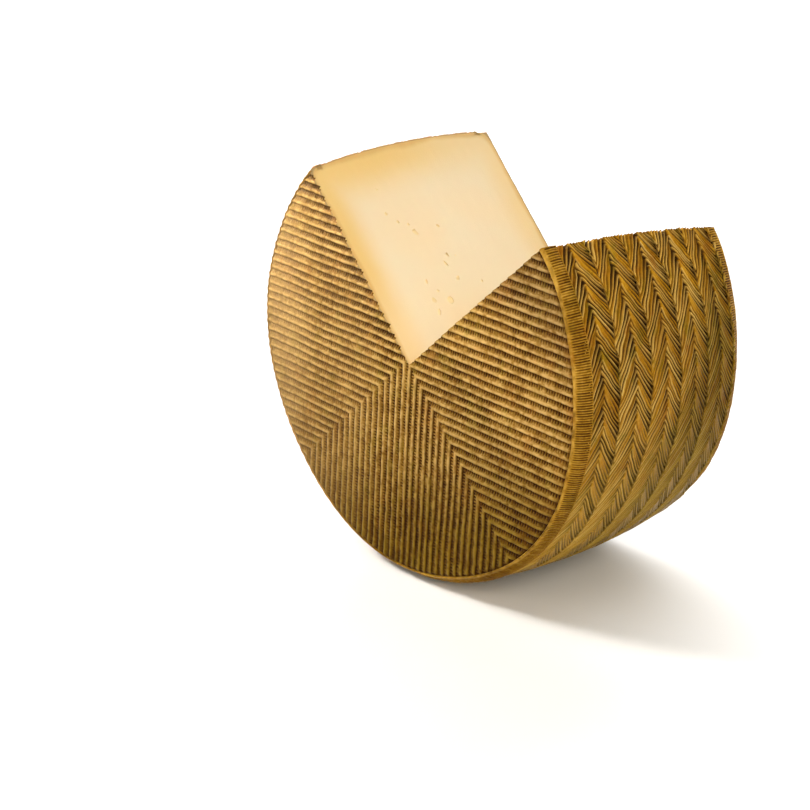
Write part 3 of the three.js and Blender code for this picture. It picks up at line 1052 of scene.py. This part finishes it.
rindLooks = {
    "face": {
        "heights": (-1.0, 0.15),
        "stops": ((0.0, screen(50, 26, 1)), (0.35, screen(80, 50, 6)), (0.65, screen(115, 82, 27)),
                  (1.0, screen(154, 122, 63))),
        "grooveDirtAndShadow": screen(42, 20, 0),
        "grooveDirtAndShadowShare": 0.92,
        "crestDustAndHighlight": screen(187, 153, 90),
        "crestDustAndHighlightShare": 0.42,
        "warm": screen(148, 93, 35),
        "green": screen(110, 98, 19),
        "hues": 0.22,
        # Painted light and shade: parts made darker or paler where light falls differently on them, each
        # as the way to it, where it begins and is full, and its shade or gain
        "paintedLightAndShade": (
            # painted shadow: darker and browner towards the bottom of the front
            {"towards": (0.3, 0, -1), "reach": (0.03, 0.085), "gain": (0.55, 0.52, 0.17)},
            # painted light: lighter towards the upper right
            {"towards": (1, 0, 1), "reach": (0.025, 0.055), "gain": (1.3, 1.3, 1.36)},
            # painted shade: darker again near the top right
            {"towards": (0.5, 0, 1), "reach": (0.05, 0.075), "gain": (0.77, 0.77, 0.84)},
            # painted light and shade evened out: the left part mixed towards one mid tone, which flattens
            # its lit ridges and shaded hollows
            {"towards": (-1, 0, 0.2), "reach": (0.0, 0.05), "share": 0.26, "shade": screen(122, 95, 58)},
            # painted light: paler at the left edge, where the key light falls most
            {"towards": (-1, 0, 0), "reach": (0.055, 0.09), "share": 0.2, "shade": screen(176, 148, 104)},
        ),
        "grains": 0.75,
        "fibres": (2.2, 1.2, 1.0),
        "roughness": 0.6,
        "shine": 0.05,
    },
    "rim": {
        "heights": (-1.3, 0.5),
        "stops": ((0.0, screen(54, 28, 0)), (0.4, screen(103, 66, 2)), (0.75, screen(149, 103, 12)),
                  (1.0, screen(175, 128, 29))),
        "grooveDirtAndShadow": screen(41, 23, 0),
        "grooveDirtAndShadowShare": 0.94,
        "crestDustAndHighlight": screen(200, 164, 86),
        "crestDustAndHighlightShare": 0.75,
        "warm": screen(141, 82, 8),
        "green": screen(102, 88, 4),
        "hues": 0.5,
        "paintedLightAndShade": (
            # painted light: paler towards the top
            {"towards": (0, 0, 1), "reach": (0.015, 0.05), "gain": (1.16, 1.16, 1.2)},
            # painted shade: darker and more olive towards the back and the bottom
            {"towards": (0, 1, -0.5), "reach": (0.0, 0.032), "gain": (0.54, 0.55, 0.36)},
            # painted light from the floor below: paler olive at the bottom
            {"towards": (0, 0, -1), "reach": (0.0, 0.06), "share": 0.3, "shade": screen(172, 142, 60)},
        ),
        "grains": 0.45,
        "fibres": (1.6, 1.0, 1.0),
        "roughness": 0.5,
        "shine": 0.06,
    },
    "shoulder": {
        "heights": (-0.5, 0.2),
        "stops": ((0.0, screen(82, 49, 2)), (0.5, screen(145, 102, 17)), (1.0, screen(192, 147, 55))),
        "grooveDirtAndShadow": screen(62, 34, 0),
        "grooveDirtAndShadowShare": 0.85,
        "crestDustAndHighlight": screen(189, 150, 92),
        "crestDustAndHighlightShare": 0.8,
        "warm": screen(148, 88, 14),
        "green": screen(115, 92, 11),
        "hues": 0.4,
        "paintedLightAndShade": (
            # painted shadow: darker towards the bottom
            {"towards": (0.3, 0, -1), "reach": (0.02, 0.085), "gain": (0.72, 0.7, 0.5)},
        ),
        "grains": 0.5,
        "fibres": (1.0, 1.0, 1.0),
        "roughness": 0.5,
        "shine": 0.05,
    },
}


def rindMaterial(name, look):
    nodes = Nodes(name)
    where = nodes.add("ShaderNodeTexCoord").output(3)
    fromAxis = nodes.vector("SUBTRACT", where, (0, 0, axisHeight * millimetre))
    height = nodes.attribute("height", 2)
    groove = nodes.attribute("groove", 2)
    crest = nodes.attribute("crest", 2)
    weave = nodes.attribute("weave", 1)
    fibres = nodes.noise(nodes.vector("MULTIPLY", weave, look["fibres"]), 1.0, 3.0, 0.6)
    grain = nodes.noise(where, 1300.0, 3.0, 0.6)
    specks = nodes.noise(where, 650.0, 2.0, 0.6)
    blotch = nodes.noise(where, 38.0, 3.0, 0.55)
    hue = nodes.noise(nodes.vector("MULTIPLY", where, (1.0, 1.0, 0.6)), 150.0, 3.0, 0.6)
    low, high = look["heights"]
    # Darker the lower the surface lies: partly the rind's own colour, partly painted shade in its hollows
    tone = (height - low) / (high - low)
    tone = tone + (fibres - 0.5) * 0.5 + (specks - 0.5) * look["grains"] + (blotch - 0.5) * 0.3
    base = nodes.add("ShaderNodeValToRGB", {"stops": look["stops"]}, {"Fac": tone})
    # Paler crests: painted highlights along the rim's stems, partly dust and partly painted highlight on
    # the face's ridges, painted light on the strip's left
    base = nodes.mix(crest * look["crestDustAndHighlightShare"], base, look["crestDustAndHighlight"])
    base = nodes.mix(nodes.step(hue, 0.54, 0.72) * look["hues"], base, look["warm"])
    base = nodes.mix(nodes.step(hue, 0.46, 0.3) * look["hues"], base, look["green"])
    # Grooves, rib hollows and stains darker: partly their dirt, partly painted shade in the hollows, with
    # painted shadow lines under the face's ridges and at the rim's sunk bundle ends
    base = nodes.mix(nodes.step(groove, 0.0, 0.9) * look["grooveDirtAndShadowShare"], base, look["grooveDirtAndShadow"])
    # Painted light and shade, part by part
    for area in look["paintedLightAndShade"]:
        place = nodes.vector("DOT_PRODUCT", fromAxis, area["towards"]).output(1)
        share = nodes.step(place + (blotch - 0.5) * 0.03, *area["reach"]) * area.get("share", 1.0)
        shade = nodes.vector("MULTIPLY", base, area["gain"]) if "gain" in area else area["shade"]
        base = nodes.mix(share, base, shade)
    relief = fibres * 0.7 + grain * 0.4 + specks * 0.5
    return nodes.finish({
        "Base Color": base,
        "Roughness": look["roughness"] + (specks - 0.5) * 0.3 - tone * 0.1,
        "Normal": nodes.bump(relief, 0.00035, 0.6),
        "Specular IOR Level": look["shine"],
    })


pasteLook = {
    "heart": screen(211, 196, 167),
    "cloud": screen(214, 191, 154),
    "deep": screen(208, 174, 108),
    # Inside the eyes: partly their own paler colour, partly painted light against the shade in the
    # hollows
    "eye": screen(224, 200, 148),
    "edge": screen(189, 150, 85),
    "line": screen(141, 118, 81),
    # How far in from the rind each shade begins and is full, in metres
    "deepReach": (0.018, 0.003),
    "edgeReach": (0.0028, 0.0008),
    "lineReach": (0.0009, 0.0003),
}


def pasteMaterial():
    nodes = Nodes("paste")
    where = nodes.add("ShaderNodeTexCoord").output(3)
    x = nodes.add("ShaderNodeSeparateXYZ", None, {0: where})
    y = x.output(1)
    z = x.output(2) - axisHeight * millimetre
    radius = nodes.add("ShaderNodeMath", {"operation": "SQRT"}, {0: x * x + z * z})
    fromFace = halfThickness * millimetre - nodes.add("ShaderNodeMath", {"operation": "ABSOLUTE"}, {0: y})
    crown = wheel["radius"] * millimetre - y * y * (wheel["crownDrop"] / plaitHalf**2 / millimetre)
    fromRim = crown - radius
    sockets = {0: fromFace, 1: fromRim * 0.65, 2: 0.006}
    depth = nodes.add("ShaderNodeMath", {"operation": "SMOOTH_MIN"}, sockets)
    blotch = nodes.noise(where, 45.0, 3.0)
    cloud = nodes.noise(where, 22.0, 2.0)
    grain = nodes.noise(where, 1600.0, 2.0)
    uneven = depth + (blotch - 0.5) * 0.004
    base = nodes.mix(nodes.step(cloud, 0.4, 0.65) * 0.6, pasteLook["heart"], pasteLook["cloud"])
    deepShare = (0.95 - nodes.step(y, -0.02, 0.045) * 0.45) * (0.5 + nodes.step(z, 0.0, 0.04) * 0.5)
    base = nodes.mix(nodes.step(uneven, *pasteLook["deepReach"]) * deepShare, base, pasteLook["deep"])
    base = nodes.mix(nodes.step(uneven, *pasteLook["edgeReach"]) * 0.7, base, pasteLook["edge"])
    base = nodes.mix(nodes.step(depth, *pasteLook["lineReach"]) * 0.8, base, pasteLook["line"])
    # Eyes paler: partly their own colour, partly painted light against the shade in the hollows
    base = nodes.mix(nodes.attribute("crest", 2) * 0.6, base, pasteLook["eye"])
    return nodes.finish({
        "Base Color": base,
        "Roughness": 0.48 + (grain - 0.5) * 0.2,
        "Normal": nodes.bump(grain * 0.5 + blotch, 0.0004, 0.35),
        "Subsurface Weight": 0.12,
        "Subsurface Scale": 0.003,
        "Specular IOR Level": 0.15,
    })


pasteFinish = pasteMaterial()
for group, key in ((faces, "face"), (shoulders, "shoulder"), (rims, "rim")):
    finish = rindMaterial(key + "Rind", rindLooks[key])
    for piece in group:
        mesh = piece.data
        mesh.materials.clear()
        mesh.materials.append(finish)
        mesh.materials.append(pasteFinish)
        sides = polygonSides(mesh)
        isCut = (sides == leftCut) | (sides == rightCut)
        mesh.polygons.foreach_set("material_index", isCut.astype(np.int32))
        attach(piece, "root")
paste.data.materials.clear()
paste.data.materials.append(pasteFinish)
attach(paste, "root")
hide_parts("cheese")
print("materials done")


# Floor, light and camera

stage = {"floor": screen(247, 246, 244), "floorSize": 14.0, "world": 0.34}

lamps = {
    "key": {"from": (-0.25, -0.20, 0.31), "aim": (-0.1, -0.05, 0.185), "size": 0.16, "spread": 50,
            "power": 0.47, "colour": (1, 0.98, 0.94)},
    "front": {"from": (0.5, -1.3, 0.8), "aim": (0, 0, 0.08), "size": 0.9, "power": 4.4,
              "colour": (1, 0.9, 0.74)},
    "side": {"from": (1.15, -0.5, 0.65), "aim": (0, 0, 0.08), "size": 0.8, "power": 9.0,
             "colour": (1, 0.95, 0.82)},
    "top": {"from": (0.1, 0.2, 1.6), "aim": (0, 0, 0.0), "size": 1.4, "power": 9.3},
    "background": {"from": (-2.8, 2.6, 2.2), "aim": (-2.8, 2.6, 0), "size": 4.6, "power": 250.0},
}


def aimAt(thing, place, target):
    place, target = Vector(place), Vector(target)
    thing.location = place
    thing.rotation_euler = (target - place).to_track_quat("-Z", "Y").to_euler()


def makeFloor():
    half = stage["floorSize"] / 2
    corners = [(-half, -half, 0), (half, -half, 0), (half, half, 0), (-half, half, 0)]
    mesh = bpy.data.meshes.new("floor")
    mesh.from_pydata(corners, [], [(0, 1, 2, 3)])
    mesh.materials.append(Nodes("floorFinish").finish({"Base Color": stage["floor"], "Roughness": 0.8}))
    return addThing("floor", mesh)


def makeLamp(name, lamp):
    light = bpy.data.lights.new(name, "AREA")
    light.size = lamp["size"]
    light.energy = lamp["power"]
    light.color = lamp.get("colour", (1, 1, 1))
    light.spread = math.radians(lamp.get("spread", 180))
    aimAt(addThing(name, light), lamp["from"], lamp["aim"])


makeFloor()
for name, lamp in lamps.items():
    makeLamp(name, lamp)
world = bpy.data.worlds.new("studio")
world.use_nodes = True
world.node_tree.nodes["Background"].inputs["Color"].default_value = (1, 1, 1, 1)
world.node_tree.nodes["Background"].inputs["Strength"].default_value = stage["world"]
bpy.context.scene.world = world
bpy.context.scene.view_settings.view_transform = "Standard"

view = {
    "place": (0.50639, -0.50118, 0.20755),  # from the middle of the wheel
    "yaw": math.radians(48.38),
    "pitch": math.radians(18.48),  # downwards
    "roll": math.radians(-0.32),
    "focal": 1702.5,  # in pixels of the photograph
    "side": 810,  # of the photograph, in pixels
}


def makeCamera():
    yaw, pitch, roll = view["yaw"], view["pitch"], view["roll"]
    ahead = Vector((-math.sin(yaw) * math.cos(pitch), math.cos(yaw) * math.cos(pitch), -math.sin(pitch)))
    level = Vector((math.cos(yaw), math.sin(yaw), 0))
    upright = level.cross(ahead)
    right = level * math.cos(roll) + upright * math.sin(roll)
    up = upright * math.cos(roll) - level * math.sin(roll)
    lens = bpy.data.cameras.new("camera")
    lens.sensor_width = 36
    lens.lens = view["focal"] / view["side"] * lens.sensor_width
    lens.clip_start = 0.01
    thing = addThing("camera", lens)
    place = Vector(view["place"]) + Vector((0, 0, axisHeight * millimetre))
    thing.matrix_world = Matrix.Translation(place) @ Matrix((right, up, -ahead)).transposed().to_4x4()
    bpy.context.scene.camera = thing


makeCamera()
print("stage done")
